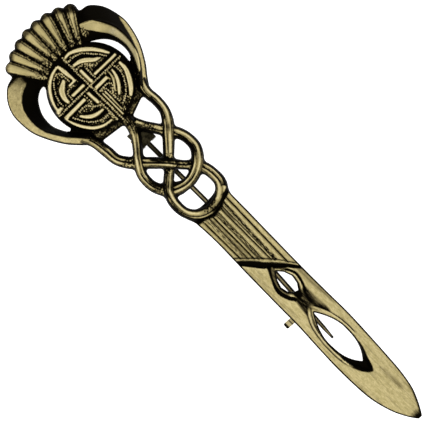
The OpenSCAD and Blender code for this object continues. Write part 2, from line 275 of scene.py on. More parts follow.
def pale_floor():
    material, g = new_graph("pale_floor")
    fine = g.noise(size=0.05, detail=2)
    finish_material(g, {
        "Base Color": g.mix(fine, (0.9, 0.9, 0.9, 1), (0.93, 0.93, 0.93, 1)),
        "Roughness": 0.9, "Emission Color": (1, 1, 1, 1), "Emission Strength": 0.9})
    return material


CAST = cast_brass()
# The hinge's near-black colour is painted shadow from the casting above it
HINGE = findings_brass("hinge_brass", (0.05, 0.042, 0.022), 0.42, hinge_marks)
CATCH = findings_brass("catch_brass", (0.50, 0.42, 0.22), 0.38, tab_marks)
WIRE = findings_brass("wire_brass", (0.42, 0.35, 0.18), 0.34, wire_marks)

# casting: outlines

# Blade: place along the pin, left edge, right edge
BLADE = [
    (5.2, -4.25, 5.75), (3.4, -3.95, 5.1), (-2, -3.7, 5), (-10, -3.9, 4.85), (-18, -4, 4.75),
    (-25, -4.05, 4.8), (-30, -4.3, 4.85), (-36, -4.5, 4.6), (-42, -4.35, 4.25),
    (-45.5, -3.95, 3.95), (-49, -3, 3.3), (-51.5, -1.9, 2.3), (-53.4, -0.75, 1.3),
    (-54.2, -0.1, 0.75)]
# Strands: across, along, 1 over or -1 under, and part of the full width
LEAF_STRAND = [
    (-7.9, 31.4, 0, 1), (-6.8, 29, 0, 1), (-6.35, 26, 0, 1.1), (-6.05, 23.4, 0, 1.05),
    (-4.6, 21.1, -1, 1.15), (-2.7, 19.2, 0, 1.1), (-1.1, 17.6, 0.5, 1.1), (0.65, 15.75, 1, 1),
    (2.4, 13.6, 0, 0.88), (4, 12, -1, 0.95), (5, 10.1, 0, 1.1), (5.35, 8, 0, 1.1),
    (5.1, 5.9, 0, 1.15), (3.4, 4.15, 0, 1.2), (0.6, 3.45, 0, 1.2), (-2.1, 4.25, 0, 1.1),
    (-3.85, 6.4, 0, 1), (-4.15, 9.2, 0, 1.05), (-3.4, 11.7, 1, 1), (-1.9, 13.3, 0, 1),
    (-0.3, 14.7, -0.5, 1), (1, 16.2, -1, 1), (2.65, 17.85, 0, 1.08), (4.6, 19.8, 1, 1.15),
    (6.3, 21.7, 0, 1.12), (7.4, 23.8, 0, 1), (7.65, 26.2, 0, 1), (7.5, 28.8, 0, 1),
    (8.3, 31.4, 0, 1)]
RING_STRAND = [
    (0.9, 29.4, 0.2, 1), (0.85, 27.2, 0.2, 1.05), (0.25, 25, 0.1, 1), (-1.2, 22.7, 0, 0.95),
    (-3.05, 20.45, 1, 0.95), (-4.55, 18.2, 0, 1), (-4.9, 15.9, 0, 1), (-4.5, 14, 0, 1.05),
    (-3.4, 12.25, -1, 1.15), (-1.9, 11.1, 0, 1.12), (0.5, 10.4, 0, 1.1), (2.8, 10.75, 0.5, 1.15),
    (4.8, 11.9, 1, 1.2), (6.55, 14.2, 0, 1.12), (6.75, 16.7, 0, 1.05), (6.05, 18.9, 0, 1.07),
    (4.85, 20.4, -1, 1), (3.8, 22.2, 0, 1), (2.45, 24.2, -0.1, 1), (1.5, 26.1, -0.3, 1)]
STRAND_W = 2.15
# Heights over the back: blade, reeds, strands, and the bulb's foot
BLADE_T = 1.8
REED_T = 2.24
STRAND_T = 2.2
FOOT_T = 1.2
# Leaves: outer edge, crease and inner edge of each section
LEFT_LEAF = [
    ((-6.4, 50.6), (-5.4, 48.6), (-4.6, 45.4)), ((-9, 49.5), (-7.6, 47), (-5.6, 44)),
    ((-11.2, 48.8), (-9.5, 45.9), (-7, 43.8)), ((-13.2, 46.8), (-11.2, 44.2), (-8.6, 42.8)),
    ((-14.3, 44.4), (-12.1, 42.2), (-9.7, 41.2)), ((-14.5, 42), (-12.4, 40.4), (-10.3, 39.6)),
    ((-14.2, 39), (-12.3, 38), (-10.4, 37.4)), ((-13, 36), (-11.4, 35.8), (-9.8, 35.6)),
    ((-11.2, 32.9), (-10, 33.3), (-8.6, 33.7)), ((-9.4, 30.8), (-8.2, 31.5), (-6.6, 32.2)),
    ((-7.9, 29.3), (-6.6, 30.3), (-5.2, 31.2))]
RIGHT_LEAF = [
    ((7.2, 50.6), (6, 48.6), (5, 45.4)), ((9.4, 49.4), (8, 46.8), (5.9, 44)),
    ((11.4, 48.9), (9.8, 45.6), (7, 43.4)), ((13.2, 46.9), (11.2, 43.8), (8.5, 42.4)),
    ((14.1, 44.5), (12, 42), (9.7, 41)), ((14.5, 41.8), (12.3, 40.2), (10.4, 39.3)),
    ((14.1, 39), (12.3, 38), (10.5, 37.4)), ((13.2, 36.2), (11.7, 35.9), (10, 35.7)),
    ((11.5, 33.1), (10.2, 33.5), (8.8, 33.9)), ((9.8, 30.9), (8.6, 31.6), (7.2, 32.4)),
    ((8.7, 29.3), (7.4, 30.3), (6, 31.2))]
# Part of the full height at each section of a leaf
LEAF_RISE = [0.3, 0.55, 0.82, 0.95, 1, 1, 1, 1, 0.94, 0.88, 0.84]
# Height of a leaf's crease and of its edges
LEAF_T = 3.4
LEAF_EDGE_T = 0.9
# Small opening above the oval one, and the foot below the bulb
DIAMOND = [
    (0.5, -14), (1.5, -15.2), (2.1, -16.9), (1.8, -18.6), (1, -19.8), (0.2, -19.5),
    (-0.7, -18.5), (-1, -17), (-0.5, -15.4)]
APRON = [
    (-8.4, 30.6), (-6.4, 28.6), (-4.8, 28), (0.3, 27.3), (2.1, 27.3), (5.4, 28.5), (6.8, 28.9),
    (9, 30.6), (0.5, 36)]
# Metal that rounds the ends of the openings between the bulb and the leaves
ENDS = [
    [(-6.6, 44.2), (-6.15, 43.8), (-6.05, 43.4), (-6.3, 42.9), (-5, 42), (-4.3, 44.6)],
    [(-8.95, 34.3), (-8.75, 34), (-8.45, 33.95), (-8.2, 34.2), (-8.05, 34.9), (-7, 34.6),
     (-7, 32.4), (-9, 32.9)],
    [(9, 36.2), (9.2, 35.6), (9.45, 35.35), (9.75, 35.55), (9.95, 36), (10.3, 35.4),
     (9, 33.6), (8.2, 35.4)]]
# Bulb: middle, radius, and where its rim slopes away
BULB = (0.45, 36.9)
BULB_R = 9.0
BULB_RIM = 8.75
# Point that the flutes spread from
CROWN = (0.1, 36.6)
# Flutes: number, radius, and the distance and radius where each begins
FLUTES = 8
FLUTE_R = 1.38
ROOT_AT = 8.6
ROOT_R = 0.75
# Painted highlight stripe of each flute: middle and half width over the radius, and the length of
# the painted shade on its tip
FLUTE_LIGHT = [
    (-0.1, 0.58, 1.7), (-0.25, 0.5, 2.1), (-0.22, 0.5, 2.3), (-0.12, 0.52, 2.4),
    (-0.12, 0.54, 2.3), (-0.15, 0.5, 2.4), (0.2, 0.3, 2.6), (0.05, 0.3, 3.1)]
# Distance of the round tips from that point
FLUTE_REACH = 16.27
# Oval opening: its middle line, half width, widest place, lower and upper end
OVAL_X = 0.1
OVAL_HALF = 2.2
OVAL_WIDEST = -31.2
OVAL_END = -38.6
OVAL_TOP = -25


def smooth_line(points, steps):
    """Smooth line through all the points, with some steps between two of them."""
    p = np.array(points, float)
    last = len(p) - 1
    made = []
    for i in range(last):
        a, b, c, d = p[max(i - 1, 0)], p[i], p[i + 1], p[min(i + 2, last)]
        for t in np.arange(steps) / steps:
            made.append(0.5 * (
                2 * b + (c - a) * t + (2 * a - 5 * b + 4 * c - d) * t ** 2
                + (3 * b - a - 3 * c + d) * t ** 3))
    made.append(p[last])
    return np.array(made)


def oval_outline(steps=24):
    """Oval opening with a sharp point above and a fuller one below."""
    sides = []
    for side in (1, -1):
        for i in range(-steps, steps):
            t = side * i / steps
            power = 3 if t < 0 else 1.8
            end = OVAL_END if t < 0 else OVAL_TOP
            sides.append((
                OVAL_X - side * OVAL_HALF * (1 - abs(t) ** power),
                OVAL_WIDEST + abs(t) * (end - OVAL_WIDEST)))
    return np.array(sides)


def polygon_depth(polygon, x, y):
    """Distance inside a polygon, negative outside."""
    p = np.array(polygon, float)
    best = np.full(x.shape, 1e9)
    inside = np.zeros(x.shape, bool)
    for a, b in zip(p, np.roll(p, -1, 0)):
        dx, dy = b - a
        t = np.clip(((x - a[0]) * dx + (y - a[1]) * dy) / (dx * dx + dy * dy + 1e-12), 0, 1)
        best = np.minimum(best, np.hypot(x - a[0] - t * dx, y - a[1] - t * dy))
        if dy != 0:
            crosses = (a[1] > y) != (b[1] > y)
            inside ^= crosses & (x < a[0] + (y - a[1]) * dx / dy)
    return np.where(inside, best, -best)


def path(points, steps):
    """Smooth line through the points, or the straight one between two."""
    return smooth_line(points, steps) if len(points) > 2 else np.array(points, float)


def line_distance(line, x, y):
    """Distance to a line, the signed side offset, its further columns and the way along it."""
    best = np.full(x.shape, 1e9)
    side = np.zeros(x.shape)
    columns = [np.zeros(x.shape) for _ in line[0][2:]]
    along = np.zeros(x.shape)
    run = 0.0
    for a, b in zip(line[:-1], line[1:]):
        dx, dy = b[0] - a[0], b[1] - a[1]
        size = math.hypot(dx, dy) + 1e-12
        t = np.clip(((x - a[0]) * dx + (y - a[1]) * dy) / size ** 2, 0, 1)
        d = np.hypot(x - a[0] - t * dx, y - a[1] - t * dy)
        near = d < best
        best = np.where(near, d, best)
        side = np.where(near, np.sign((x - a[0]) * dy - (y - a[1]) * dx) * d, side)
        along = np.where(near, run + t * size, along)
        for k in range(len(columns)):
            columns[k] = np.where(near, a[k + 2] + (b[k + 2] - a[k + 2]) * t, columns[k])
        run += size
    return best, side, columns, along


def distance(line, x, y):
    return line_distance(line, x, y)[0]


def strand_depth(line, x, y):
    """Distance inside a strand, whose width changes along its line."""
    away, _, (_, width), _ = line_distance(line, x, y)
    return STRAND_W / 2 * width - away


def boxed(points, margin, rest, work):
    """A function of x and y, worked out near the points only, with a rest value elsewhere."""
    p = np.array([q[:2] for q in points], float)
    low, high = p.min(0) - margin, p.max(0) + margin

    def value(x, y):
        near = (x > low[0]) & (x < high[0]) & (y > low[1]) & (y < high[1])
        made = np.full(x.shape, float(rest))
        if near.any():
            made[near] = work(x[near], y[near])
        return made
    return value


# Depth of what is far from a form
OUT = -1.0


def polygon_part(outline):
    """Distance inside an outline, near it."""
    return boxed(outline, 1, OUT, lambda x, y: polygon_depth(outline, x, y))


# Soft corners where the cast forms run into each other
FILLET = 0.75
BLADE_TOP = BLADE[0][0]
blade_rows = smooth_line(BLADE, 4)
blade_outline = [(r[1], r[0]) for r in blade_rows] + [(r[2], r[0]) for r in blade_rows[::-1]]
oval = oval_outline()
# Each strand in two runs, so that neither crosses itself
strand_lines = []
strand_starts = []
for points, middle in ((LEAF_STRAND, 14), (RING_STRAND, 9)):
    fine = smooth_line(points, 5)
    strand_lines += [fine[:middle * 5 + 2], fine[middle * 5 - 1:]]
    steps = np.hypot(*np.diff(fine[:, :2], axis=0).T)
    strand_starts += [0, steps[:middle * 5 - 1].sum()]
leaf_lines = [
    [smooth_line([row[k] for row in rows], 4) for k in range(3)]
    for rows in (LEFT_LEAF, RIGHT_LEAF)]
leaf_outlines = [list(lines[0]) + list(lines[2][::-1]) for lines in leaf_lines]

flute_lines = []
for i in range(FLUTES):
    turn = math.radians(-30 + 60 * i / (FLUTES - 1))
    flute_lines.append((math.sin(turn), math.cos(turn)))


def flute_reach(i):
    """Distance of a flute's round tip, a little less at the sides of the fan."""
    return FLUTE_REACH - 0.2 * (2 * i / (FLUTES - 1) - 1) ** 2


def flute_depth(i, x, y):
    """Distance inside a flute, its radius there, the part of its length and the side offset."""
    sx, sy = flute_lines[i]
    u = (x - CROWN[0]) * sx + (y - CROWN[1]) * sy
    v = (x - CROWN[0]) * sy - (y - CROWN[1]) * sx
    reach = flute_reach(i)
    t = np.clip((u - ROOT_AT) / (reach - ROOT_AT), 0, 1)
    radius = ROOT_R + (FLUTE_R - ROOT_R) * t
    return radius - np.hypot(v, u - ROOT_AT - t * (reach - ROOT_AT)), radius, t, v


# Parts of the outline, each with the size of its fillet against those before it
depth_parts = [
    (0, polygon_part(blade_outline)), (0, polygon_part(APRON)),
    (0, boxed(
        [(-8.6, 27.9), (9.5, 46)], 1, OUT,
        lambda x, y: BULB_R - np.hypot(x - BULB[0], y - BULB[1])))]
for line in strand_lines:
    depth_parts.append((FILLET, boxed(
        line, 2, OUT, lambda x, y, line=line: strand_depth(line, x, y))))
for outline in ENDS + leaf_outlines:
    depth_parts.append((0, polygon_part(outline)))
for k in range(FLUTES):
    sx, sy = flute_lines[k]
    depth_parts.append((FILLET, boxed(
        [(CROWN[0] + r * sx, CROWN[1] + r * sy) for r in (7.5, 17.7)], 2, OUT,
        lambda x, y, k=k: flute_depth(k, x, y)[0])))
hole_parts = [polygon_part(DIAMOND), polygon_part(oval)]


def depth(x, y):
    """Distance inside the casting's outline, negative outside and in its openings."""
    made = np.full(x.shape, OUT)
    for fillet, part in depth_parts:
        more = part(x, y)
        close = np.clip(1 - np.abs(made - more) / max(fillet, 0.01), 0, 1)
        close = close * (np.minimum(made, more) > OUT)
        made = np.maximum(made, more) + fillet / 4 * close ** 2
    for part in hole_parts:
        made = np.minimum(made, -part(x, y))
    return made


# casting: heights

# Height where a form has none
NONE = -9.0


def rise(value, low, high):
    """Smooth rise from 0 at low to 1 at high."""
    t = np.clip((value - low) / (high - low), 0, 1)
    return t * t * (3 - 2 * t)


def fall(value, low, high):
    return 1 - rise(value, low, high)


def ridge(offset, half):
    """Round ridge: 1 on its line, 0 from its half width on."""
    return np.sqrt(np.clip(1 - (offset / half) ** 2, 0, 1))


def spot(x, y, middle, reach):
    """Round spot: 1 in its middle, fading over its reach."""
    return np.exp(-((x - middle[0]) / reach[0]) ** 2 - ((y - middle[1]) / reach[1]) ** 2)


def largest(*values):
    return np.maximum.reduce(values)


def at(value, table):
    """Second column of a table where its first column has the value."""
    return np.interp(value, *zip(*table))


def stepped(first, values):
    """Table whose first column grows by 1 from row to row."""
    return [(first + i, value) for i, value in enumerate(values)]


# Section of a strand: part of the half width and part of the height
SECTION = [
    (-1, 0.5), (-0.93, 0.66), (-0.8, 0.78), (-0.6, 0.9), (-0.42, 0.96), (-0.26, 0.88),
    (-0.16, 0.82), (-0.05, 0.87), (0.12, 0.96), (0.3, 1), (0.5, 0.97), (0.7, 0.9),
    (0.88, 0.76), (1, 0.5)]
# Tarnish in the groove between a strand's ridges, and painted shade on its flanks: part of the
# half width and strength
STRAND_TARNISH_AND_SHADE = [
    (-1, 1), (-0.62, 1), (-0.52, 0.6), (-0.44, 0), (-0.3, 0), (-0.22, 0.85), (-0.1, 0.85),
    (-0.02, 0.15), (0.06, 0), (0.38, 0), (0.47, 0.3), (0.53, 0.85), (0.6, 0.6), (0.68, 0.46),
    (0.82, 0.5), (0.88, 0.9), (1, 1)]
# Dull, pitted places on the strands: middle, reach and strength
DULL_SPOTS = [
    ((0.3, 4.1), (1.6, 0.8), 1.25), ((1.6, 14.6), (0.6, 1.2), 1), ((3.1, 23.6), (1, 1.9), 0.9),
    ((0.5, 26.6), (1.1, 1.7), 1), ((-4.7, 13.5), (0.7, 1), 0.8), ((2.9, 13.4), (0.7, 0.8), 0.9),
    ((-4.3, 21.8), (0.9, 0.8), 0.8)]
# Roundel: half width and middle line of each band
ROUNDEL = [
    (0.40, [(-7.75, 37.9), (-6.5, 38.1)]),
    (0.36, [(-7.4, 38.2), (-7.2, 39.4), (-6.5, 41), (-5.2, 42.8), (-3.5, 43.9), (-1.7, 44.35)]),
    (0.42, [(-1.3, 44.2), (-1.1, 42.6), (-0.9, 41.2), (-0.75, 40.1)]),
    (0.26, [(-2.3, 40.05), (-0.7, 40.1)]),
    (0.52, [(-4.8, 38), (-4.7, 39.2), (-4, 40.5), (-2.6, 41.5)]),
    (0.44, [(-3.1, 38.3), (-0.4, 38.25)]),
    (0.38, [(0.9, 44.5), (2.2, 44.5), (4, 43.6), (5.7, 42.1), (6.9, 40.5), (7.6, 39.2)]),
    (0.42, [(0.8, 42.3), (2.3, 42), (3.5, 41.3), (4.7, 40.2), (5.7, 39.9)]),
    (0.46, [(1.3, 40.4), (1.3, 37.8)]),
    (0.34, [(2.9, 38.2), (8.2, 38.1)]),
    (0.42, [(-7.2, 36.05), (-2.3, 36.1)]),
    (0.30, [(-7.4, 35.9), (-7, 34.3), (-6.1, 32.5), (-4.8, 30.9), (-3.1, 29.9), (-1.2, 29.6)]),
    (0.40, [(-5, 34.3), (-3.9, 33.1), (-2.6, 32.4), (-1.1, 32.2)]),
    (0.40, [(-0.78, 36.5), (-0.68, 34)]),
    (0.42, [(0.9, 36.1), (3.8, 36.1)]),
    (0.30, [(5.75, 36.4), (5.45, 34.9), (4.6, 33.4), (3.4, 32.1)]),
    (0.15, [(5, 36.9), (4.7, 35.1), (3.3, 33.1)]),
    (0.14, [(4.35, 37), (4.15, 35.6)]),
    (0.45, [(7.8, 36.3), (7.75, 34.7), (7.2, 33.3), (6.1, 31.6), (4.9, 30.4)]),
    (0.17, [(1.2, 34.4), (1.16, 28.9)]),
    (0.10, [(1.8, 34.4), (1.75, 29.8)])]
# Height of a wide and of a thin band over the ground
ROUNDEL_TOP = 0.72
THIN_TOP = 0.42
# Smooth black lanes in the roundel's ground: half width and middle line
LANES = [
    (0.15, [(-8.2, 37.68), (8.6, 37.62)]), (0.15, [(-8.2, 36.82), (8.6, 36.78)]),
    (0.14, [(0.02, 44.8), (0.02, 28.6)]), (0.14, [(0.9, 44.8), (0.9, 28.6)]),
    (0.42, [(-6, 38.2), (-5.8, 40), (-4.9, 41.7), (-3.5, 42.7)]),
    (0.28, [(-0.35, 44.8), (-0.3, 38.9)]), (0.26, [(-3.6, 38.85), (0.1, 38.85)]),
    (0.38, [(0.8, 43), (2.6, 42.9), (4.1, 42.1), (5.4, 40.9), (6.2, 39.9)]),
    (0.3, [(3.1, 38.85), (8.1, 38.75)]), (0.2, [(-6.9, 35.4), (-2.6, 35.45)]),
    (0.36, [(-6, 34.6), (-5, 32.9), (-3.6, 31.9), (-0.7, 31.5)]),
    (0.26, [(-4.2, 34.2), (-2.9, 33.3), (-1.4, 32.9)]), (0.26, [(1.95, 40.6), (1.95, 38)]),
    (0.2, [(1, 35.45), (3.7, 35.45)]), (0.2, [(-1.25, 36.6), (-1.2, 34)]),
    (0.3, [(6.5, 36.6), (6.3, 34.9), (5.4, 33), (4.2, 31.6)])]
# Ground of the roundel: height over the back, and radius
GROUND_T = 2.2
GROUND_R = 8.0
# Strings of beads between the bands
BEADS = [
    [(-8, 37.25), (8.6, 37.2)],
    [(0.45, 44.8), (0.45, 28.2)],
    [(-6.15, 38.2), (-5.9, 39.8), (-5.1, 41.5), (-3.9, 42.9), (-2.5, 43.4), (-1.85, 42.9)],
    [(-1.85, 42.6), (-1.8, 40.7)],
    [(-1.9, 39.6), (-3.5, 39.5), (-3.85, 38.8), (-3.85, 37.8)],
    [(0.9, 43.5), (2.5, 43.4), (3.9, 42.7), (5.1, 41.4), (6.3, 40), (6.8, 39.1)],
    [(0.9, 41.4), (2.1, 41.3), (3.1, 40.6), (3.7, 39.9)],
    [(2.3, 40), (2.3, 37.8)],
    [(-1.65, 36.5), (-1.65, 34.9)],
    [(-6.3, 35.1), (-5.2, 33.1), (-3.7, 31.5), (-1.9, 30.8), (-0.3, 30.8)],
    [(-4.6, 35.2), (-2.8, 35), (-2, 33.9), (-0.8, 33.2)],
    [(1.2, 35.2), (3.4, 35.1), (3.7, 34.2), (3, 33.5)],
    [(2.35, 34.6), (2.45, 31.2)],
    [(6.4, 37), (6.7, 35.4), (6.3, 33.8), (5.3, 32.2), (4.1, 31.1), (2.7, 30.4)],
    [(5.6, 35.6), (5, 33.6), (4, 32.3)],
    [(-0.35, 33.6), (-0.35, 28.9)]]

# Upper ends of the reeds
PANEL_TOP = [
    (-3.9, 3.4), (-3, 3.2), (-2, 3), (-1.2, 2.65), (-0.3, 2.2), (0.8, 2.45), (1.9, 2.5),
    (3, 3.15), (4, 3.4), (5.1, 3.75)]
SLANT = [(-4.6, -6.1), (-3.3, -7), (-1.7, -8.6), (0.2, -10.5), (2.3, -12.9), (4.7, -16.5)]
SLANT_GROOVE = [
    (-4.6, -6.9), (-3.7, -7.6), (-2, -9.5), (-0.5, -11.3), (1, -12.7), (3, -14.9), (4.9, -17.2)]
SLANT_HALF = [(-4.5, 0.3), (-3, 0.42), (-0.8, 0.58), (1, 0.42), (3, 0.26), (5, 0.16)]
RIBBONS = [
    [(-1.3, -38.9), (-1.9, -38), (-2.4, -36.2), (-2.62, -33), (-2.5, -30), (-1.95, -27),
     (-0.95, -24.8), (0.2, -23.3), (0.95, -21.9), (1.55, -20.3), (2.3, -19), (2.65, -17.2),
     (2.2, -15.8), (1.3, -14.4), (0.6, -13.6)],
    [(2.75, -34.2), (2.85, -32), (2.7, -29.5), (2.1, -26.8), (1.1, -24.6), (0.3, -23.2),
     (-0.2, -21.6), (-0.3, -20.2), (-0.95, -19.1), (-1.45, -17.2), (-1, -15.2), (-0.1, -13.6),
     (0.5, -12.9)]]
RECESSES = [
    [(-0.7, -20.2), (0.1, -20.7), (0.5, -21.6), (-0.1, -23.5), (-0.9, -25.2), (-1.45, -26.3),
     (-1.4, -24.8), (-1.2, -23.4), (-1, -21.8)],
    [(1.7, -19.6), (2.5, -20.1), (2.7, -22.5), (2.8, -24.5), (2.7, -26.5), (2.35, -27.4),
     (1.8, -25.8), (1.1, -24.3), (0.9, -23), (1.2, -21.5)],
    [(-0.7, -19.7), (1.5, -19.7), (1, -20.8), (0.5, -21.2), (-0.1, -20.8)]]
# Left side of the second recess: along, across
RECESS_SIDE = [(-29.6, 3.1), (-27.8, 2.7), (-25.6, 1.7), (-24.1, 1), (-21.4, 1.3), (-20.3, 1.85)]
CHAMFER = [
    (-2.95, -34.6), (-2.75, -36.4), (-2.2, -38.2), (-1.5, -39.7), (-0.75, -40.7), (0.2, -41.3),
    (0.75, -40.5), (1.1, -39.4), (1.55, -38), (2.1, -36.6), (2.45, -35), (0.1, -36)]
# Dark cuts beside the ribbons: half width and middle line
CUTS = [
    (0.32, [(0.1, -12.6), (-0.9, -14.6), (-1.65, -16.2), (-1.9, -17.6), (-1.35, -19.4),
            (-0.6, -20.5)]),
    (0.12, [(2.3, -15.2), (3, -17), (2.6, -19.2), (1.9, -20.6)])]


# Left leaf: where the facet painted black as painted shade begins
LEFT_EDGE = stepped(30, [
    -7, -7.8, -8.7, -9.5, -10.3, -11, -11.6, -12.05, -12.3, -12.5, -12.5, -12.4, -12.2, -11.9,
    -11.3, -10.3]) + [(45.6, -9.4), (46.2, -8.2), (47, -7)]
# Right leaf: where the band of painted shade ends outwards, where the facet of painted light
# begins and ends
RIGHT_BAND = stepped(31, [
    8.6, 9.5, 10.3, 10.95, 11.5, 11.97, 12.3, 12.65, 12.95, 13.15, 13.4, 13.62, 13.85, 14.6])
RIGHT_HOLLOW = stepped(33, [
    9.4, 9.9, 10.4, 10.8, 11, 11.15, 11.1, 10.95, 10.7, 10.25, 9.5, 8.8, 8.1, 7.4, 7.1])
RIGHT_CREASE = stepped(32, [
    9.1, 10, 10.75, 11.35, 11.7, 11.92, 12.08, 12.12, 12.1, 12, 11.8, 11.4, 10.9, 10.35,
    9.75]) + [(46.6, 9.1), (47.1, 8.2), (47.6, 6.5)]


def leaf_height(lines, x, y):
    """Height of a leaf, whose flat facets meet in its crease."""
    height = np.full(x.shape, NONE)
    rises = smooth_line([(r,) for r in LEAF_RISE], 4)[:, 0]
    for i in range(len(rises) - 1):
        for edge in (0, 2):
            corners = []
            for j in (i, i + 1):
                corners.append((*lines[edge][j], LEAF_EDGE_T * rises[j]))
                corners.append((*lines[1][j], LEAF_T * rises[j]))
            for k in ((0, 1, 3), (0, 3, 2)):
                a, b, c = (np.array(corners[q]) for q in k)
                p, q = b - a, c - a
                area = p[0] * q[1] - p[1] * q[0]
                if abs(area) < 1e-9:
                    continue
                u = ((x - a[0]) * q[1] - (y - a[1]) * q[0]) / area
                v = (p[0] * (y - a[1]) - (x - a[0]) * p[1]) / area
                inside = (u > -0.06) & (v > -0.06) & (u + v < 1.06)
                z = a[2] + u * p[2] + v * q[2]
                height = np.where(inside, np.maximum(height, z), height)
    return height


class Relief:
    """Height over the back, painted patina, shade and light, and pitting of a set of points, form
    by form.
    """

    def __init__(self, x, y):
        self.x = x
        self.y = y
        self.height = np.full(x.shape, 0.9)
        self.paint = np.ones(x.shape)
        self.pitted = np.zeros(x.shape)
        self.form = np.zeros(x.shape)
        self.reeded = np.zeros(x.shape)

    def lay(self, height, paint, form, pitted=0.0):
        """The higher form hides the lower."""
        over = height > self.height
        self.height = np.where(over, height, self.height)
        self.paint = np.where(over, paint, self.paint)
        self.pitted = np.where(over, pitted, self.pitted)
        self.form = np.where(over, form, self.form)


BLADE_FORM, STRAND_FORM, BULB_FORM, LEAF_FORM, FLUTE_FORM = 1, 2, 3, 4, 5


def lay_blade(relief):
    """Blade with its reeds, the slanting edge, the ribbons and the recesses beside them."""
    x, y = relief.x, relief.y
    rows = blade_rows[::-1]
    left = np.interp(y, rows[:, 0], rows[:, 1])
    right = np.interp(y, rows[:, 0], rows[:, 2])
    across = np.clip((x - (left + right) / 2) / np.maximum((right - left) / 2, 0.2), -1, 1)
    height = BLADE_T + 0.16 * (1 - across ** 2)
    top_edge = at(x, PANEL_TOP)
    slant = at(x, SLANT)
    panel = (y < top_edge) & (y > slant)
    reeds = np.full(x.shape, REED_T)
    for place, half, drift, strength in REED_LINES:
        away = np.abs(x - place + drift * (REED_TOP - y) / REED_RUN)
        reeds = reeds - 0.34 * strength * np.exp(-(away / (half + 0.08)) ** 2)
    cap = rise(top_edge - y, 0.0, 0.36)
    bare = rise(cap, 0.1, 0.6)
    height = np.where(panel, FOOT_T + (reeds - FOOT_T) * cap, height)
    paint = np.where(panel, 1 - 1.25 * bare, 0)
    relief.reeded = np.where(panel & (y - slant > 0.1), bare, 0)
    crevice = (y >= top_edge) & (y < BLADE_TOP)
    height = np.where(crevice, 1.05, height)
    paint = np.where(crevice, 0.85, paint)
    rough = rise(y - top_edge, -0.7, -0.3) * 0.9

    # The slanting ridge and the groove below it
    gap = fall(distance(SLANT_GROOVE, x, y) - at(x, SLANT_HALF), -0.16, 0.12)
    height = height - 0.6 * gap
    above = distance([(a, b + 0.42) for a, b in SLANT], x, y)
    paint = largest(paint, gap, 0.9 * fall(above, 0.05, 0.2))
    edge = ridge(distance(SLANT, x, y), 0.24)
    height = np.where(edge > 0, np.maximum(height, 1.7 + 0.5 * edge), height)
    paint = paint * fall(edge, 0.3, 0.8) + 0.22 * rise(edge, 0.3, 0.8)

    # Recesses, a brown stain, painted shade along the right side, darker places near the tip, the
    # pointed chamfer below the oval, the cuts and the ribbons
    beyond = x - at(y, RECESS_SIDE)
    for outline, fade in zip(RECESSES, (0.66, np.clip(0.85 - 0.33 * beyond, 0, 1), 1)):
        d = polygon_part(outline)(x, y)
        height = height - 0.35 * rise(d, -0.1, 0.6) * fade
        paint = np.maximum(paint, rise(d, -0.5, 0.35) * fade)
    d = polygon_part(CHAMFER)(x, y)
    height = height - 0.9 * rise(d, -0.05, 0.9)
    paint = largest(
        paint, rise(d, -0.12, 0.2),
        0.27 * np.exp(-((x - 1.7) / 0.8) ** 2) * rise(-y, 40, 43) * fall(-y, 45.5, 50),
        # Painted shade along the right side of the blade; darker along the right edge near the tip
        # and at the very tip
        0.2 * rise(x, 2.6, 4.4) * rise(-y, 9, 14) * fall(-y, 24, 30),
        0.85 * fall(right - x, 0.2, 0.75) * rise(-y, 46, 51), 0.9 * rise(-y, 51.8, 54.0))
    for half, line in CUTS:
        cut = fall(distance(smooth_line(line, 4), x, y), half * 0.6, half + 0.14)
        height = height - 0.4 * cut
        paint = np.maximum(paint, cut)
    for k, line in enumerate(RIBBONS):
        away = distance(smooth_line(line, 4), x, y)
        fade = rise(y, -35, -32.5) if k else rise(y, -38.8, -36.5)
        beside = np.exp(-((away - 0.4) / 0.13) ** 2)
        beside = beside * (rise(y, -27, -22) if k else rise(y, -37.5, -35))
        paint = np.maximum(paint, 0.85 * beside)
        bead = ridge(away, 0.27)
        height = np.where(bead > 0, np.maximum(height, 1.7 + 0.42 * bead * fade), height)
        paint = paint * (1 - rise(bead, 0.25, 0.75) * fade)
        crossing = rise(y, -24.4, -23.2) * fall(y, -20.8, -19.6)
        if k:
            crossing = np.maximum(crossing, 0.8 * rise(y, -19.6, -18.6))
        paint = np.maximum(paint, 0.62 * crossing * (bead > 0))
    for opening in hole_parts:
        paint = np.maximum(paint, rise(opening(x, y), -0.28, -0.1))
    relief.lay(np.where(y < BLADE_TOP, height, NONE), paint, BLADE_FORM, rough)


